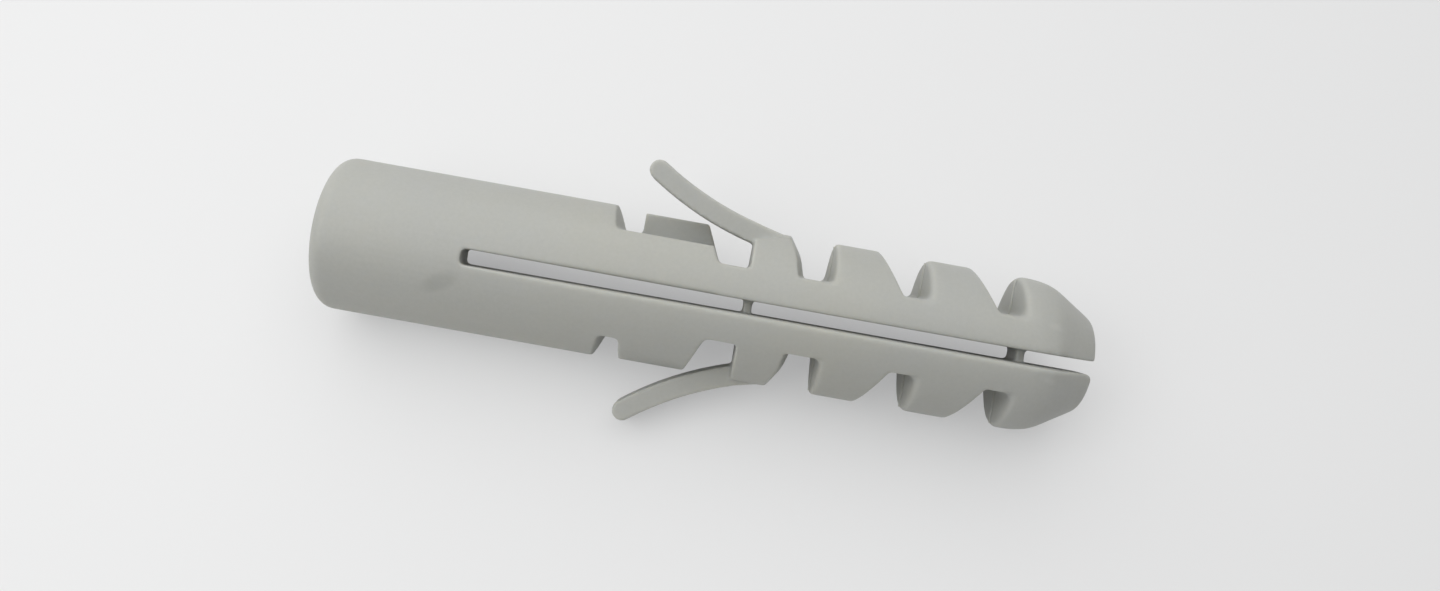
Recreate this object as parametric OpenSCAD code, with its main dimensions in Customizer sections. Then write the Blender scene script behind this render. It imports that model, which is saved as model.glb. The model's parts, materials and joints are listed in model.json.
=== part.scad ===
// Nylon wall plug, collarless expansion type, lying on its side.
// The axis runs along X: the mouth is at X = 0 and the tip points along +X.
// The plug is drawn with its slot in the XZ plane, which splits it into an upper half
// (+Y) and a lower half (-Y). Turned half a turn about its axis, it repeats itself, apart
// from the tongues' spread, the webs, and the slot, which is longer and wider underneath.
// Then it is rolled about its axis and lies on its shank, with the end of its lower tongue
// just clear of the ground.

/* [Body] */
// Outside diameter of the shank
plug_d = 10; // [9:0.5:14]
// Length from the mouth to the tip
plug_l = 50; // [46:1:70]
// Rounding of the mouth's outer edge
mouth_round = 1; // [0.3:0.1:1.5]

/* [Screw bore] */
// Diameter of the straight bore in the neck
bore_d = 6; // [4:0.1:6.6]
// Depth of the straight bore from the mouth
bore_l = 9; // [5:0.5:14]
// Lead-in chamfer at the mouth
bore_lead = 0.4; // [0.1:0.1:0.6]
// Bore diameter where the toothed part starts
throat_d = 2.8; // [2:0.1:3.4]
// Bore diameter at the tip
channel_d = 1.5; // [1:0.1:2]

/* [Slot] */
// Distance from the mouth to the slot on the upper face
slot_start = 9.6; // [6:0.1:14]
// How much nearer the mouth the slot starts on the underside
slot_under = 1.7; // [0:0.1:3]
// Width of the slot where it starts
slot_w = 1; // [0.7:0.05:1.2]
// Width of the slot along the teeth
slot_waist = 0.85; // [0.6:0.05:1.2]
// Extra width of the slot on the underside
slot_wider = 0.4; // [0:0.1:0.5]
// Rounding of the slot's closed corners
slot_round = 0.3; // [0.1:0.05:0.3]
// Rounding of each half's sharper corner at the slot's open end
lip_sharp = 0.2; // [0.05:0.05:0.8]
// Rounding of each half's softer corner at the slot's open end
lip_soft = 0.6; // [0.05:0.05:0.8]

/* [Webs] */
// Thickness of a web along the axis
web_t = 0.55; // [0.3:0.05:1]
// Distance from the last catching wall to the rear web
web_rear = 0; // [0:0.05:1.5]
// Distance from the axis to the webs' tops
web_h = 3.5; // [2:0.1:4]

/* [Teeth] */
// Number of catching walls on each half
walls = 3; // [2:1:3]
// Distance from one catching wall to the next
pitch = 6.05; // [5.5:0.05:7]
// Width of the floor in front of a catching wall
gap_floor = 1.65; // [1:0.05:2]
// Distance from the axis to the floor of the gaps
core_h = 2.4; // [2.1:0.05:2.8]
// Slope of the ramps behind the teeth, from the perpendicular
ramp_lean = 31; // [20:1:36]
// Slope of the shoulder's ramp over its bend, from the perpendicular
shoulder_lean = 34; // [26:1:38]
// Slope of the shoulder's ramp under its bend, from the perpendicular
shoulder_foot = 16; // [10:1:22]
// Height of the bend over the floor of the gap
shoulder_bend = 1.3; // [0.8:0.1:1.8]
// Rounding of the bend
bend_round = 3; // [0.5:0.5:4]
// Draft of the shoulder's ramp on either side of the parting plane
shoulder_draft = 8; // [0:1:10]
// Rounding in the corners of the gaps
gap_round = 0.2; // [0.05:0.05:0.4]
// Rounding of the first tooth's crest
crest_first = 0.2; // [0.05:0.05:0.6]
// Rounding of the other teeth's crests
crest_round = 0.35; // [0.05:0.05:0.6]

/* [Nose] */
// Distance from the last catching wall to the tip
nose_l = 5.25; // [4.6:0.05:8]
// Length over which the nose narrows
nose_taper = 2.9; // [2:0.1:4]
// Length of the slight easing in front of the taper
nose_easing = 1.1; // [0.2:0.1:1.5]
// Drop in radius over the easing
nose_drop = 0.2; // [0.05:0.05:0.4]
// Slope of the nose against the axis
nose_slope = 33; // [20:1:40]
// Rounding of the nose's end
nose_round = 1; // [0.2:0.1:1.2]

/* [Shoulder and window] */
// Distance from the tongue's root to the first catching wall
shoulder_l = 5.3; // [4.8:0.1:8]
// Rounding of the shoulder's corner beside the tongue
shoulder_round = 0.6; // [0.1:0.1:0.8]
// Length of the window's floor
window_l = 2; // [1.6:0.1:3]
// Lean of the window's sloping wall, from the perpendicular
window_lean = 24; // [0:1:30]
// Rounding of the window's corner
window_round = 0.45; // [0.1:0.05:0.6]

/* [Pocket] */
// Length of the cheek beside the pocket, along the surface
cheek_l = 4.2; // [3:0.1:8]
// Distance from the axis to the pocket's floor
pocket_h = 3.4; // [3.2:0.05:3.8]
// Distance from the parting plane to the pocket's back wall
pocket_back = 1.1; // [0.6:0.1:1.6]
// Width of the notch's floor at the front of the pocket
notch_floor = 1.3; // [0.8:0.1:2]
// Lean of the notch's front wall, from the perpendicular
notch_lean = 17; // [0:1:25]
// Rounding in the notch's corners
notch_round = 0.3; // [0.05:0.05:0.5]

/* [Tongues] */
// Length of a tongue from its root to the centre of its rounded end
tongue_l = 7.45; // [5:0.05:9]
// Thickness of a tongue
tongue_t = 1.33; // [0.8:0.01:1.6]
// Radius of a tongue's bow
tongue_bow = 21.5; // [15:0.5:40]
// Distance from the axis to the underside of a tongue at its root
tongue_h = 4.05; // [3.9:0.05:4.3]
// Width of a tongue on the pocket's open side of the parting plane
tongue_open = 1.5; // [1:0.1:1.8]
// Clearance between a tongue and the plane of the pocket's back wall
tongue_gap = 0.2; // [0.1:0.05:0.4]
// Angle at which the upper tongue leaves the shoulder
upper_lift = 13.5; // [6:0.5:25]
// Angle at which the lower tongue leaves the shoulder
lower_lift = 18; // [6:0.5:25]
// Length of the root that runs out over the shoulder
root_run = 2.4; // [1.5:0.1:3.5]
// How far the root has sunk into the shoulder where it ends
root_sink = 0.2; // [0.05:0.05:0.4]
// Roll that would still bring the lower tongue's end from where it lies to the ground
tongue_clear = 1.5; // [0:0.1:3]

/* [Hidden] */
$fn = 96;
nylon = [0.68, 0.685, 0.645];
plug_r = plug_d / 2;
bore_r = bore_d / 2;
// Cutters run past the surface by this much
past = 1;
// Steps in a rounded corner of an outline
corner_steps = 6;
// Sides of the small circle that rounds a crest
crest_fn = 12;
first_wall = plug_l - nose_l - (walls - 1) * pitch;
last_wall = plug_l - nose_l;
root_x = first_wall - shoulder_l;
window_x = root_x - window_l;
cheek_x = window_x - (plug_r - core_h) * tan(window_lean);
notch_x = cheek_x - cheek_l;
web_x = last_wall + web_rear;
out = plug_r + past;
// Angle that a tongue's bow spans
swing = tongue_l / tongue_bow * 180 / PI;
// Distance from the axis to the lower tongue's end, and the roll that brings it to the ground
tip_h = tongue_h + tongue_t + tongue_bow * (cos(lower_lift) - cos(lower_lift + swing));
corner_r = norm([tip_h, tongue_open]);
touch_roll = corner_r > plug_r ? asin(plug_r / corner_r) - atan(tongue_open / tip_h) : 0;
rest_roll = max(0, touch_roll - tongue_clear);

function wall_x(k) = first_wall + k * pitch;

function unit(v) = v / norm(v);

// Arc of radius r that rounds the corner q on the way from p to s
function rounded(p, q, s, r) =
    let (u = unit(p - q), v = unit(s - q))
    let (half = acos(u * v) / 2)
    let (c = q + unit(u + v) * r / sin(half))
    let (a = q + u * r / tan(half) - c, b = q + v * r / tan(half) - c)
    let (turn = (a.x * b.y - a.y * b.x > 0 ? 1 : -1) * (180 - 2 * half))
    [for (i = [0:corner_steps])
        let (at = atan2(a.y, a.x) + turn * i / corner_steps)
        c + r * [cos(at), sin(at)]];

// Turns a section about the X axis; what is Y in the section runs along the plug
module along_x() {
    rotate([90, 0, 90]) rotate_extrude() children();
}

// A plate between two heights, cut from an outline in the XY plane
module slab(z_low, z_high) {
    translate([0, 0, z_low]) linear_extrude(z_high - z_low) children();
}

// What belongs to each half: once as drawn, once after half a turn
module both_halves() {
    for (turn = [0, 180]) rotate([turn, 0, 0]) children();
}

// Half of the plug's section, with the axis as its Y axis
module shank_profile() {
    taper_x = plug_l - nose_taper;
    taper_r = plug_r - nose_drop;
    // Centre of the nose's end rounding, tangent to the taper and the end face
    end_x = plug_l - nose_round;
    end_r = taper_r - (end_x - taper_x) * tan(nose_slope) - nose_round / cos(nose_slope);
    touch = nose_round * [cos(nose_slope), sin(nose_slope)];
    polygon([
        [0, 0], [plug_r - mouth_round, 0], [plug_r - mouth_round, mouth_round], [plug_r, mouth_round],
        [plug_r, taper_x - nose_easing], [taper_r, taper_x], [end_r + touch.x, end_x + touch.y],
        [end_r, end_x], [end_r, plug_l], [0, plug_l]
    ]);
    translate([plug_r - mouth_round, mouth_round]) circle(mouth_round);
    translate([end_r, end_x]) circle(nose_round);
}

module shank() {
    along_x() shank_profile();
}

// Straight bore with a lead-in, then a taper to the throat and a thin channel to the tip
module screw_bore() {
    along_x() polygon([
        [0, -past], [bore_r + bore_lead + past, -past], [bore_r, bore_lead], [bore_r, bore_l],
        [throat_d / 2, first_wall], [channel_d / 2, plug_l],
        [channel_d / 2, plug_l + past], [0, plug_l + past]
    ]);
}

// One side of the slot's outline: closed corner, wall, then the lip at the open end
function slot_side(start, extra, lip) =
    let (wide = (slot_w + extra) / 2, waist = (slot_waist + extra) / 2)
    concat(
        rounded([start, 0], [start, wide], [root_x, waist], slot_round), [[root_x, waist]],
        rounded([root_x, waist], [plug_l, waist], [plug_l, plug_r], lip), [[plug_l + past, waist + lip]]
    );

// Outline of the slot, with its own lip on each side
module slot_outline(start, extra, lip_up, lip_down) {
    up = slot_side(start, extra, lip_up);
    down = slot_side(start, extra, lip_down);
    polygon(concat(up, [for (i = [len(down) - 1:-1:0]) [down[i].x, -down[i].y]]));
}

module slot() {
    slab(0, out) slot_outline(slot_start, 0, lip_sharp, lip_soft);
    slab(-out, 0) slot_outline(slot_start - slot_under, slot_wider, lip_soft, lip_sharp);
}

// Bridges across the slot's upper side, down to the screw's channel
module webs() {
    reach = (slot_w + slot_wider) / 2 + web_t;
    for (x = [root_x, web_x]) translate([x, -reach, 0]) cube([web_t, 2 * reach, web_h]);
}

// Outline of the ramp over gap k, from outside down to its last bend; the shoulder's has one
function ramp(foot, k) =
    let (bend = [foot - shoulder_bend * tan(shoulder_foot), core_h + shoulder_bend])
    let (top = [bend.x - (out - bend.y) * tan(shoulder_lean), out])
    k == 0 ? concat([top], rounded(top, bend, [foot, core_h], bend_round))
        : [[foot - (out - core_h) * tan(ramp_lean), out]];

// Gap in front of catching wall k: ramp of the tooth before it, floor and steep wall
module gap(k) {
    x = wall_x(k);
    foot = [x - gap_floor, core_h];
    side = ramp(foot.x, k);
    slab(-out, out) polygon(concat(
        side, rounded(side[len(side) - 1], foot, [x, core_h], gap_round),
        rounded(foot, [x, core_h], [x, out], gap_round), [[x, out]]
    ));
}

// The shoulder's ramp is drafted away from the parting plane
module shoulder_ramp() {
    middle = gap_floor / 2;
    for (side = [-1, 1])
        translate([first_wall - gap_floor, 0, 0]) rotate([0, -side * shoulder_draft, 0])
            slab(min(0, side * out), max(0, side * out))
                polygon(concat(ramp(0, 0), [[0, core_h], [middle, core_h], [middle, out]]));
}

module gaps() {
    for (k = [0:walls - 1]) gap(k);
    shoulder_ramp();
}

// Ring that rounds the crest over catching wall k
module crest_ring(k, r) {
    along_x() difference() {
        translate([plug_r - r, wall_x(k) - past]) square([r + past, r + past]);
        translate([plug_r - r, wall_x(k) + r]) circle(r, $fn = crest_fn);
    }
}

module crests() {
    intersection() {
        union() {
            for (k = [0:walls - 1]) crest_ring(k, k == 0 ? crest_first : crest_round);
        }
        translate([0, core_h, -out]) cube([plug_l, out, 2 * out]);
    }
}

// Opening right through the half, behind the cheek and under the tongue
module window() {
    top = window_x - (out - core_h) * tan(window_lean);
    edge = [[top, out], [window_x, core_h], [root_x, core_h]];
    slab(-out, out) polygon(concat(
        [edge[0]], rounded(edge[0], edge[1], edge[2], window_round), [edge[2], [root_x, out]]
    ));
}

// Notch in front of the cheek, right through the half
module notch() {
    front = notch_x - notch_floor;
    top = front - (out - pocket_h) * tan(notch_lean);
    edge = [[top, out], [front, pocket_h], [notch_x, pocket_h], [notch_x, out]];
    slab(-out, out) polygon(concat(
        [edge[0]], rounded(edge[0], edge[1], edge[2], notch_round),
        rounded(edge[1], edge[2], edge[3], notch_round), [edge[3]]
    ));
}

// Room that the tongue folds into, open on one face of the half
module pocket() {
    front = notch_x - notch_floor / 2;
    slab(-pocket_back, out) translate([front, pocket_h]) square([root_x - front, out - pocket_h]);
    // Beside the tongue's root the shoulder falls away to the tongue's underside
    slab(tongue_open, out) polygon([
        [root_x - past, tongue_h + tongue_gap], [root_x, tongue_h + tongue_gap],
        [root_x + root_run, plug_r], [root_x + root_run, out], [root_x - past, out]
    ]);
}

// Rounding of the shoulder's corner on the pocket's closed side
module shoulder_corner() {
    slab(-out, -pocket_back) difference() {
        translate([root_x - past, plug_r - shoulder_round]) square([shoulder_round + past, out]);
        translate([root_x + shoulder_round, plug_r - shoulder_round]) circle(shoulder_round);
    }
}

// Bowed strip with a rounded end, and its root that runs out over the shoulder
module tongue_outline(lift) {
    middle = tongue_h + tongue_t / 2;
    translate([root_x, middle] + tongue_bow * [sin(lift), cos(lift)]) {
        intersection() {
            difference() {
                circle(tongue_bow + tongue_t / 2);
                circle(tongue_bow - tongue_t / 2);
            }
            polygon([
                [0, 0], -2 * tongue_bow * [sin(lift), cos(lift)],
                -2 * tongue_bow * [sin(lift + swing), cos(lift + swing)]
            ]);
        }
        translate(-tongue_bow * [sin(lift + swing), cos(lift + swing)]) circle(tongue_t / 2);
    }
    translate([root_x, middle]) circle(tongue_t / 2);
    polygon([
        [root_x, tongue_h], [root_x, tongue_h + tongue_t],
        [root_x + root_run, plug_r - root_sink], [root_x + root_run, tongue_h]
    ]);
}

module tongue(lift) {
    slab(tongue_gap - pocket_back, tongue_open) tongue_outline(lift);
}

module wall_plug() {
    color(nylon) rotate([rest_roll, 0, 0]) difference() {
        union() {
            difference() {
                shank();
                slot();
                both_halves() {
                    gaps();
                    crests();
                    window();
                    notch();
                    pocket();
                    shoulder_corner();
                }
            }
            webs();
            tongue(upper_lift);
            rotate([180, 0, 0]) tongue(lower_lift);
        }
        screw_bore();
    }
}

wall_plug();
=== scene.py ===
import json
import math

import bpy
from mathutils import Euler, Matrix, Vector

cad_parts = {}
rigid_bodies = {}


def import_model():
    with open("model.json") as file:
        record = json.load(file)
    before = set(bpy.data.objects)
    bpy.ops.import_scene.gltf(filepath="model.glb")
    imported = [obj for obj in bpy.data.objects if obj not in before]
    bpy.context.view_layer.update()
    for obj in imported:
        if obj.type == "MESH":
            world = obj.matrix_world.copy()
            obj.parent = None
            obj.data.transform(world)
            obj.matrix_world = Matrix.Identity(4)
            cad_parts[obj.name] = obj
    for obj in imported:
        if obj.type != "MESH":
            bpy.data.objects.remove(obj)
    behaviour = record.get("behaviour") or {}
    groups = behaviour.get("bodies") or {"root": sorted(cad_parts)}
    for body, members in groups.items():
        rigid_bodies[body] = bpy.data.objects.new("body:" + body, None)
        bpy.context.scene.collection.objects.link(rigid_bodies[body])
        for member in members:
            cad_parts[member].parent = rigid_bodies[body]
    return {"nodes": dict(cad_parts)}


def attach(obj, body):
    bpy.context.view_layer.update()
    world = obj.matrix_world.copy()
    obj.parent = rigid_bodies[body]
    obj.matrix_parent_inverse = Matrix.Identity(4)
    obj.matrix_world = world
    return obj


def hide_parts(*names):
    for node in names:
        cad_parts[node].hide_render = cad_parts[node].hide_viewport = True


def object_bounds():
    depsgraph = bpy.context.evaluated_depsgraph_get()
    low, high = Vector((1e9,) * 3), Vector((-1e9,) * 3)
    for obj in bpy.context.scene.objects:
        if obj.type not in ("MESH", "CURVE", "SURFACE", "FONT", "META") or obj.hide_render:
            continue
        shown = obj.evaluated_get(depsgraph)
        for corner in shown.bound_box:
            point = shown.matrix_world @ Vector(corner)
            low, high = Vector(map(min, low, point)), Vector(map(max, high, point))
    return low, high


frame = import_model()
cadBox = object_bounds()
mm = 0.001

# How the plug lies: rolled about its own axis, with its lower tongue just clear of the floor.
# A place that is given in the plug's own frame is turned by this roll.
plugRoll = math.radians(22.7253)
rolled = Matrix.Rotation(plugRoll, 4, "X")


# Camera, first, as the photo's framing depends on nothing else
photoCamera = {
    "place": Vector((25.942, 2.077, 76.348)) * mm,  # in the plug's own frame
    "turn": Euler([math.radians(a) for a in (-1.276, 0.343, 10.155)]),
    "lens": 29.0,
    "sensor": 36.0,
    "clipStart": 1 * mm,
}


def setUpCamera():
    bpy.ops.object.camera_add()
    camera = bpy.context.active_object
    camera.name = "photoCamera"
    camera.matrix_world = rolled @ Matrix.LocRotScale(photoCamera["place"], photoCamera["turn"], None)
    camera.data.lens = photoCamera["lens"]
    camera.data.sensor_width = photoCamera["sensor"]
    camera.data.clip_start = photoCamera["clipStart"]
    bpy.context.scene.camera = camera
    print("camera placed")


setUpCamera()


# The moulded body: the CAD plug's own mesh, with its edges softened as a mould leaves them
mouldedBody = {
    "mergeWithin": 0.001 * mm,
    "grain": 0.1 * mm,  # size of the even quads that the body is rebuilt from
    "softenPasses": 7,  # each pass rounds the edges a little more
    "rimPasses": 36,  # more of them along the slot's lips and over the catching walls
    "lipWidth": 1.2 * mm,
    "lipStart": (10 * mm, 18 * mm),  # where the lips' share sets in along the slot
    "catchingWalls": [x * mm for x in (32.65, 38.70, 44.75)],
    "wallReach": 0.7 * mm,
    "wallSides": (3.6 * mm, 4.5 * mm),  # where the walls' share falls away towards the outline
    "rimRadius": 4.1 * mm,  # nearer the axis than this, the rims' share is nothing
    "nosePasses": 240,  # and most where the nose starts to narrow
    "noseEdge": 47.1 * mm,
    "noseReach": 2.0 * mm,
    "noseFromSlot": (0.8 * mm, 1.2 * mm),  # where the nose's share sets in beside the slot
    "noseRadius": 3.1 * mm,
    "keptShare": 0.21,  # of the faces, once the shape is done
}


def copyOfNode(name, nodeName):
    bpy.ops.object.select_all(action="DESELECT")
    source = frame["nodes"][nodeName]
    source.select_set(True)
    bpy.context.view_layer.objects.active = source
    bpy.ops.object.duplicate()
    piece = bpy.context.active_object
    piece.name = name
    piece.data.name = name
    piece.parent = None
    for key in list(piece.keys()):
        del piece[key]
    return piece


# The share of its passes that a spot in the plug's own frame gets, from 0 to 1
def rimShare(spot):
    look = mouldedBody
    if math.hypot(spot.y, spot.z) < look["rimRadius"]:
        return 0
    if abs(spot.y) < look["lipWidth"]:
        start, full = look["lipStart"]
        return min(1, max(0, (spot.x - start) / (full - start)))
    if not any(abs(spot.x - x) < look["wallReach"] for x in look["catchingWalls"]):
        return 0
    full, end = look["wallSides"]
    return min(1, max(0, (end - abs(spot.y)) / (end - full)))


def noseShare(spot):
    look = mouldedBody
    away = abs(spot.x - look["noseEdge"]) / look["noseReach"]
    start, full = look["noseFromSlot"]
    fromSlot = min(1, max(0, (abs(spot.y) - start) / (full - start)))
    if away > 1 or math.hypot(spot.y, spot.z) < look["noseRadius"]:
        return 0
    return fromSlot * (1 - away * away)


def softenWhere(body, name, passes, shareAt):
    unroll = rolled.inverted()
    group = body.vertex_groups.new(name=name)
    for vertex in body.data.vertices:
        share = shareAt(unroll @ vertex.co)
        if share > 0:
            group.add([vertex.index], share, "REPLACE")
    soften = body.modifiers.new(name, "SMOOTH")
    soften.iterations = passes
    soften.vertex_group = group.name
    bpy.ops.object.modifier_apply(modifier=soften.name)
    body.vertex_groups.clear()


def makeMouldedBody():
    body = copyOfNode("mouldedBody", "wall_plug")
    bpy.ops.object.mode_set(mode="EDIT")
    bpy.ops.mesh.select_all(action="SELECT")
    bpy.ops.mesh.remove_doubles(threshold=mouldedBody["mergeWithin"])
    bpy.ops.object.mode_set(mode="OBJECT")

    evenQuads = body.modifiers.new("evenQuads", "REMESH")
    evenQuads.mode = "VOXEL"
    evenQuads.voxel_size = mouldedBody["grain"]
    bpy.ops.object.modifier_apply(modifier=evenQuads.name)
    softEdges = body.modifiers.new("softEdges", "SMOOTH")
    softEdges.iterations = mouldedBody["softenPasses"]
    bpy.ops.object.modifier_apply(modifier=softEdges.name)

    softenWhere(body, "softRims", mouldedBody["rimPasses"], rimShare)
    softenWhere(body, "softNose", mouldedBody["nosePasses"], noseShare)

    fewerFaces = body.modifiers.new("fewerFaces", "DECIMATE")
    fewerFaces.ratio = mouldedBody["keptShare"]
    bpy.ops.object.modifier_apply(modifier=fewerFaces.name)
    bpy.ops.object.shade_smooth()
    print("moulded body:", len(body.data.polygons), "faces")
    return body


body = makeMouldedBody()


# Thin flash where the mould parts, up the middle of each catching wall
partingFlash = {
    "root": 0.13 * mm,  # radius at the gap's floor, and then at the crest
    "crest": 0.08 * mm,
    "low": 2.35 * mm,  # distances from the axis
    "high": 4.80 * mm,
    "sides": 12,
    "mergeWithin": 0.004 * mm,
    "smoothUnder": math.radians(40),
}


def addPartingFlash(body):
    look = partingFlash
    middle = (look["low"] + look["high"]) / 2
    bpy.ops.object.select_all(action="DESELECT")
    strips = []
    for wall in mouldedBody["catchingWalls"]:
        for side in (1, -1):
            # the cone stands along the plug's own Y axis, its thick end at the gap's floor
            turn = rolled @ Matrix.Rotation(-side * math.pi / 2, 4, "X")
            bpy.ops.mesh.primitive_cone_add(
                vertices=look["sides"], radius1=look["root"], radius2=look["crest"],
                depth=look["high"] - look["low"],
                location=rolled @ Vector((wall, side * middle, 0)), rotation=turn.to_euler()
            )
            strips.append(bpy.context.active_object)
    for strip in strips:
        strip.select_set(True)
    bpy.ops.object.join()
    flash = bpy.context.active_object

    bpy.ops.object.select_all(action="DESELECT")
    body.select_set(True)
    bpy.context.view_layer.objects.active = body
    union = body.modifiers.new("flash", "BOOLEAN")
    union.operation = "UNION"
    union.object = flash
    bpy.ops.object.modifier_apply(modifier=union.name)
    bpy.ops.object.mode_set(mode="EDIT")
    bpy.ops.mesh.select_all(action="SELECT")
    bpy.ops.mesh.quads_convert_to_tris()
    bpy.ops.mesh.remove_doubles(threshold=look["mergeWithin"])
    bpy.ops.mesh.dissolve_degenerate(threshold=look["mergeWithin"])
    bpy.ops.object.mode_set(mode="OBJECT")
    bpy.ops.object.shade_smooth_by_angle(angle=look["smoothUnder"])

    bpy.ops.object.select_all(action="DESELECT")
    flash.select_set(True)
    bpy.ops.object.delete()
    print("parting flash:", len(strips), "strips")


addPartingFlash(body)


# Grey nylon as moulded: matt, a little cloudy, with a fine grain, a parting line with a painted
# highlight along it, and a few soft marks
greyNylon = {
    "colour": (0.415, 0.42, 0.392, 1),
    "warmTint": (0.421, 0.423, 0.386, 1),
    "coolTint": (0.410, 0.417, 0.398, 1),
    "clouds": {"size": 5 * mm, "stretch": (0.6, 1, 1), "detail": 2.0},
    "hues": {"size": 5 * mm, "stretch": (1, 0.8, 1.3), "detail": 3.0},
    # flow lines left by the filling of the mould
    "flow": {"size": 1.2 * mm, "stretch": (0.12, 1, 1), "detail": 2.0},
    "specks": {"size": 0.12 * mm, "stretch": (1, 1, 1), "detail": 1.0},
    "waves": {"size": 2.5 * mm, "stretch": (0.5, 1, 1), "detail": 1.0},
    "grain": {"size": 0.16 * mm, "stretch": (1, 1, 1), "detail": 3.0},
    "cloudShade": 0.02,  # how far the clouds go lighter or darker
    "flowShade": 0.012,
    "speckShade": 0.02,
    "roughness": (0.50, 0.62),
    "grainHeight": 0.0015 * mm,
    "waveHeight": 0.012 * mm,
    "partingWidth": 0.07 * mm,
    "partingHeight": 0.02 * mm,
    # how much lighter the parting line is painted: a painted highlight, beside its real relief in the
    # bump
    "partingPaintedHighlight": 1.12,
    "subsurface": 0.5,
    "subsurfaceReach": 0.8 * mm,
    "subsurfaceRadius": (1.0, 0.9, 0.7),
}
# What turns the texture's 0 to 1 into lumps from -1 to 1
noiseSpread = {"lumpsInSize": 0.5, "gain": 4.0, "shift": -2.0}
# Soft marks in the plug's own frame, in mm and degrees: place, half-lengths, turn, and the
# shade at their middle, which holds out to the core's share of the way to their edge
markCore = 0.35
nylonMarks = {
    "gateMark": {"at": (8.5, -1.85, 4.7), "reach": (1.9, 0.75, 0.8), "turn": 33, "shade": 0.88},
    # two lighter soft spots on the nose
    "noseLighterSpot": {"at": (46.75, 2.2, 4.5), "reach": (0.8, 0.35, 0.6), "turn": -8, "shade": 1.07},
    "noseLighterSpotLow": {"at": (47.0, -1.25, 4.85), "reach": (0.9, 0.3, 0.6), "turn": -8, "shade": 1.07},
}


def newNode(tree, kind, at, **settings):
    node = tree.nodes.new(kind)
    node.location = at
    for name, value in settings.items():
        setattr(node, name, value)
    return node


def feed(tree, node, **sources):
    # gives each named input a value, or links it to another node's output
    for name, source in sources.items():
        socket = node.inputs[int(name[2:])] if name.startswith("in") else node.inputs[name]
        if isinstance(source, bpy.types.NodeSocket):
            tree.links.new(source, socket)
        else:
            socket.default_value = source


def addNoise(tree, coords, lumps, at):
    # noise from -1 to 1 whose lumps are about one size across
    mapping = newNode(tree, "ShaderNodeMapping", at)
    feed(tree, mapping, Vector=coords, Scale=lumps["stretch"])
    noise = newNode(tree, "ShaderNodeTexNoise", (at[0] + 200, at[1]))
    scale = noiseSpread["lumpsInSize"] / lumps["size"]
    feed(tree, noise, Vector=mapping.outputs[0], Scale=scale, Detail=lumps["detail"])
    spread = newNode(tree, "ShaderNodeMath", (at[0] + 400, at[1]), operation="MULTIPLY_ADD")
    feed(tree, spread, in0=noise.outputs[0], in1=noiseSpread["gain"], in2=noiseSpread["shift"])
    return spread.outputs[0]


def addMath(tree, operation, first, second, at, third=None):
    node = newNode(tree, "ShaderNodeMath", at, operation=operation)
    feed(tree, node, in0=first, in1=second)
    if third is not None:
        feed(tree, node, in2=third)
    return node.outputs[0]


def addSoftMark(tree, coords, mark, at):
    # 1 away from the mark, going softly to its shade in the middle
    mapping = newNode(tree, "ShaderNodeMapping", at, vector_type="TEXTURE")
    feed(
        tree, mapping, Vector=coords, Location=Vector(mark["at"]) * mm,
        Rotation=(0, 0, math.radians(mark["turn"])), Scale=Vector(mark["reach"]) * mm
    )
    away = newNode(tree, "ShaderNodeVectorMath", (at[0] + 200, at[1]), operation="LENGTH")
    feed(tree, away, in0=mapping.outputs[0])
    shade = newNode(tree, "ShaderNodeMapRange", (at[0] + 400, at[1]), interpolation_type="SMOOTHSTEP")
    feed(tree, shade, Value=away.outputs["Value"], in1=markCore, in2=1.0, in3=mark["shade"], in4=1.0)
    return shade.outputs[0]


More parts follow.
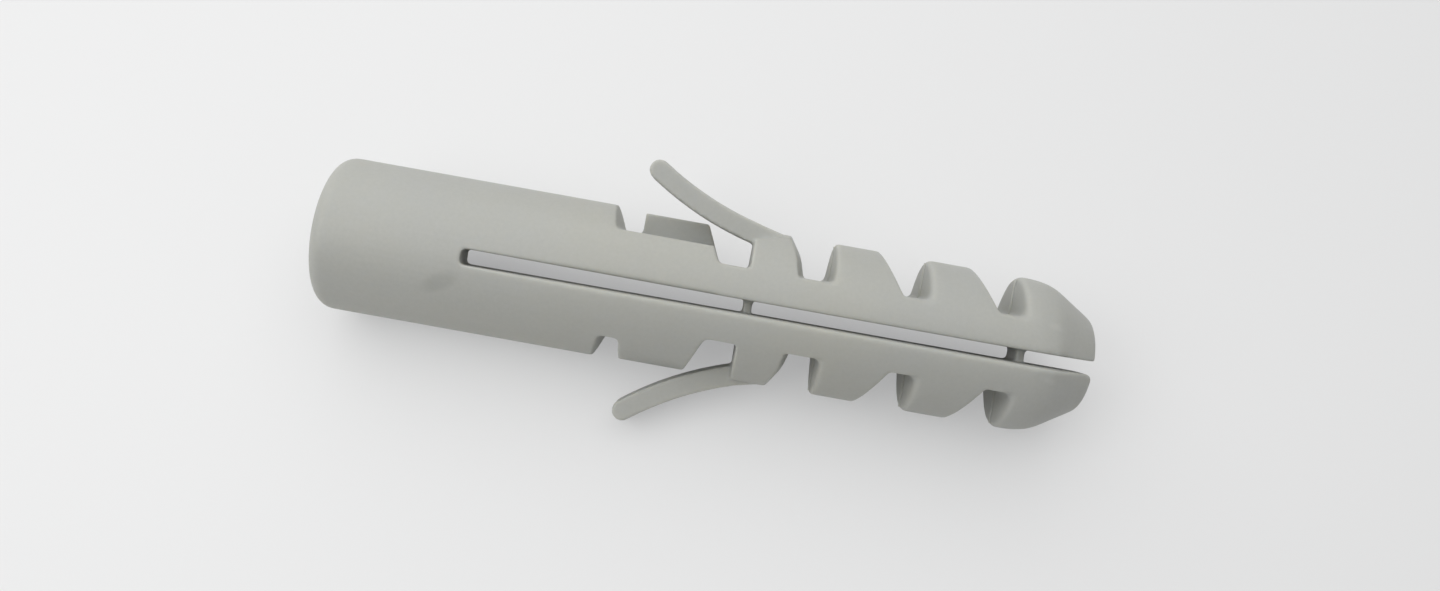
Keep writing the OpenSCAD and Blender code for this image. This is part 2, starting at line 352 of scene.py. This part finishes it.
def makeGreyNylon():
    look = greyNylon
    material = bpy.data.materials.new("greyNylon")
    material.use_nodes = True
    tree = material.node_tree
    shader = tree.nodes["Principled BSDF"]
    shader.location = (1400, 0)
    tree.nodes["Material Output"].location = (1700, 0)

    objectCoords = newNode(tree, "ShaderNodeTexCoord", (-1600, 0))
    unrolled = newNode(tree, "ShaderNodeMapping", (-1400, 0))
    feed(tree, unrolled, Vector=objectCoords.outputs["Object"], Rotation=(-plugRoll, 0, 0))
    coords = unrolled.outputs[0]

    clouds = addNoise(tree, coords, look["clouds"], (-1100, 600))
    hues = addNoise(tree, coords, look["hues"], (-1100, 900))
    flow = addNoise(tree, coords, look["flow"], (-1100, 300))
    specks = addNoise(tree, coords, look["specks"], (-1100, 0))
    waves = addNoise(tree, coords, look["waves"], (-1100, -600))
    grain = addNoise(tree, coords, look["grain"], (-1100, -900))

    # parting line where the two halves of the mould met, in the plane of the plug's own X and Y; it
    # is raised in the bump and painted lighter as a highlight
    split = newNode(tree, "ShaderNodeSeparateXYZ", (-1100, -300))
    feed(tree, split, Vector=coords)
    offPlane = addMath(tree, "ABSOLUTE", split.outputs["Z"], 0, (-900, -300))
    parting = newNode(tree, "ShaderNodeMapRange", (-700, -300), interpolation_type="SMOOTHSTEP")
    feed(tree, parting, Value=offPlane, in1=0.0, in2=look["partingWidth"], in3=1.0, in4=0.0)
    parting = parting.outputs[0]

    shade = addMath(tree, "MULTIPLY_ADD", clouds, look["cloudShade"], (-400, 600), 1.0)
    shade = addMath(tree, "MULTIPLY_ADD", flow, look["flowShade"], (-200, 500), shade)
    shade = addMath(tree, "MULTIPLY_ADD", specks, look["speckShade"], (0, 400), shade)
    # painted highlight: the colour made lighter along the parting line
    shade = addMath(tree, "MULTIPLY_ADD", parting, look["partingPaintedHighlight"] - 1, (200, 300), shade)
    for step, mark in enumerate(nylonMarks.values()):
        spot = addSoftMark(tree, coords, mark, (-400, 1200 + 300 * step))
        shade = addMath(tree, "MULTIPLY", shade, spot, (400 + 150 * step, 300))

    hueShift = newNode(tree, "ShaderNodeMapRange", (-400, 900))
    feed(tree, hueShift, Value=hues, in1=-1.0, in2=1.0)
    tint = newNode(tree, "ShaderNodeValToRGB", (-200, 900))
    ramp = tint.color_ramp
    ramp.elements[0].color = look["coolTint"]
    ramp.elements[1].color = look["warmTint"]
    ramp.elements.new(0.5).color = look["colour"]
    feed(tree, tint, Fac=hueShift.outputs[0])
    painted = newNode(tree, "ShaderNodeVectorMath", (1000, 500), operation="SCALE")
    feed(tree, painted, in0=tint.outputs["Color"], Scale=shade)
    tree.links.new(painted.outputs[0], shader.inputs["Base Color"])

    smoothest, dullest = look["roughness"]
    dull = newNode(tree, "ShaderNodeMapRange", (1000, 0))
    feed(tree, dull, Value=clouds, in1=-1.0, in2=1.0, in3=smoothest, in4=dullest)
    tree.links.new(dull.outputs[0], shader.inputs["Roughness"])

    height = addMath(tree, "MULTIPLY", waves, look["waveHeight"], (-400, -600))
    height = addMath(tree, "MULTIPLY_ADD", grain, look["grainHeight"], (-200, -700), height)
    height = addMath(tree, "MULTIPLY_ADD", parting, look["partingHeight"], (0, -600), height)
    bump = newNode(tree, "ShaderNodeBump", (1000, -400))
    feed(tree, bump, Height=height, Distance=1.0)
    tree.links.new(bump.outputs[0], shader.inputs["Normal"])

    # nylon lets a little light through, which softens its thin parts and its recesses
    feed(tree, shader, **{
        "Subsurface Weight": look["subsurface"],
        "Subsurface Scale": look["subsurfaceReach"],
        "Subsurface Radius": look["subsurfaceRadius"],
    })
    print("grey nylon mixed")
    return material


body.data.materials.clear()
body.data.materials.append(makeGreyNylon())
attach(body, "root")
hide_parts("wall_plug")


# Floor: pale all over to the camera, with the plug's own shadow on it
paleFloor = {
    "half": 1.5,
    "height": cadBox[0][2],
    "colour": (0.76, 0.76, 0.755, 1),
    "roughness": 0.9,
    "glow": (0.86, 0.865, 0.875, 1),
    "glowShare": 0.40,  # how much of what the camera sees is a plain pale backdrop
    "farShare": 0.95,  # and how much of it further off, beyond the photo's frame
    "nearEnd": 0.12,  # between these distances the one share passes into the other
    "farStart": 0.45,
}


def makeFloor():
    look = paleFloor
    bpy.ops.mesh.primitive_plane_add(size=2 * look["half"], location=(0, 0, look["height"]))
    floor = bpy.context.active_object
    floor.name = "paleFloor"
    material = bpy.data.materials.new("paleFloor")
    material.use_nodes = True
    tree = material.node_tree
    shader = tree.nodes["Principled BSDF"]
    feed(tree, shader, **{"Base Color": look["colour"], "Roughness": look["roughness"]})

    ray = newNode(tree, "ShaderNodeLightPath", (-600, 300))
    seen = ray.outputs["Is Camera Ray"]
    seen = addMath(tree, "MAXIMUM", seen, ray.outputs["Is Glossy Ray"], (-400, 300))
    seen = addMath(tree, "MAXIMUM", seen, ray.outputs["Is Transmission Ray"], (-200, 300))
    coords = newNode(tree, "ShaderNodeTexCoord", (-600, 600))
    away = newNode(tree, "ShaderNodeVectorMath", (-400, 600), operation="LENGTH")
    feed(tree, away, in0=coords.outputs["Object"])
    glowShare = newNode(tree, "ShaderNodeMapRange", (-200, 600), interpolation_type="SMOOTHSTEP")
    feed(
        tree, glowShare, Value=away.outputs["Value"], in1=look["nearEnd"], in2=look["farStart"],
        in3=look["glowShare"], in4=look["farShare"]
    )
    share = addMath(tree, "MULTIPLY", seen, glowShare.outputs[0], (0, 300))
    glow = newNode(tree, "ShaderNodeEmission", (0, -300))
    feed(tree, glow, Color=look["glow"])
    blend = newNode(tree, "ShaderNodeMixShader", (300, 0))
    feed(tree, blend, in0=share, in1=shader.outputs[0], in2=glow.outputs[0])
    tree.links.new(blend.outputs[0], tree.nodes["Material Output"].inputs["Surface"])
    floor.data.materials.append(material)
    print("floor laid")


makeFloor()


# Soft studio light: an even sky, one large lamp beyond the upper tongue and one before the mouth
studio = {
    "sky": 0.36,
    "skySeen": 0.86,  # how bright the sky looks to the camera
    "aim": Vector((0.015, 0, 0)),
    "sideLamp": {"place": Vector((-0.02, 0.065, 0.145)), "size": 0.30, "power": 0.345},
    "frontLamp": {"place": Vector((-0.055, -0.040, 0.100)), "size": 0.08, "power": 0.038},
}


def hangLamp(name):
    look = studio[name]
    bpy.ops.object.light_add(type="AREA")
    lamp = bpy.context.active_object
    lamp.name = name
    lamp.data.size = look["size"]
    lamp.data.energy = look["power"]
    turn = (studio["aim"] - look["place"]).to_track_quat("-Z", "Y")
    lamp.matrix_world = Matrix.LocRotScale(look["place"], turn, None)
    lamp.visible_camera = False


def makeLights():
    world = bpy.data.worlds.new("studioAir")
    world.use_nodes = True
    tree = world.node_tree
    background = tree.nodes["Background"]
    ray = newNode(tree, "ShaderNodeLightPath", (-600, 0))
    strength = newNode(tree, "ShaderNodeMapRange", (-300, 0))
    feed(tree, strength, Value=ray.outputs["Is Camera Ray"], in3=studio["sky"], in4=studio["skySeen"])
    feed(tree, background, Color=(1, 1, 1, 1), Strength=strength.outputs[0])
    bpy.context.scene.world = world
    hangLamp("sideLamp")
    hangLamp("frontLamp")
    print("lights hung")


makeLights()

scene = bpy.context.scene
scene.view_settings.view_transform = "Standard"
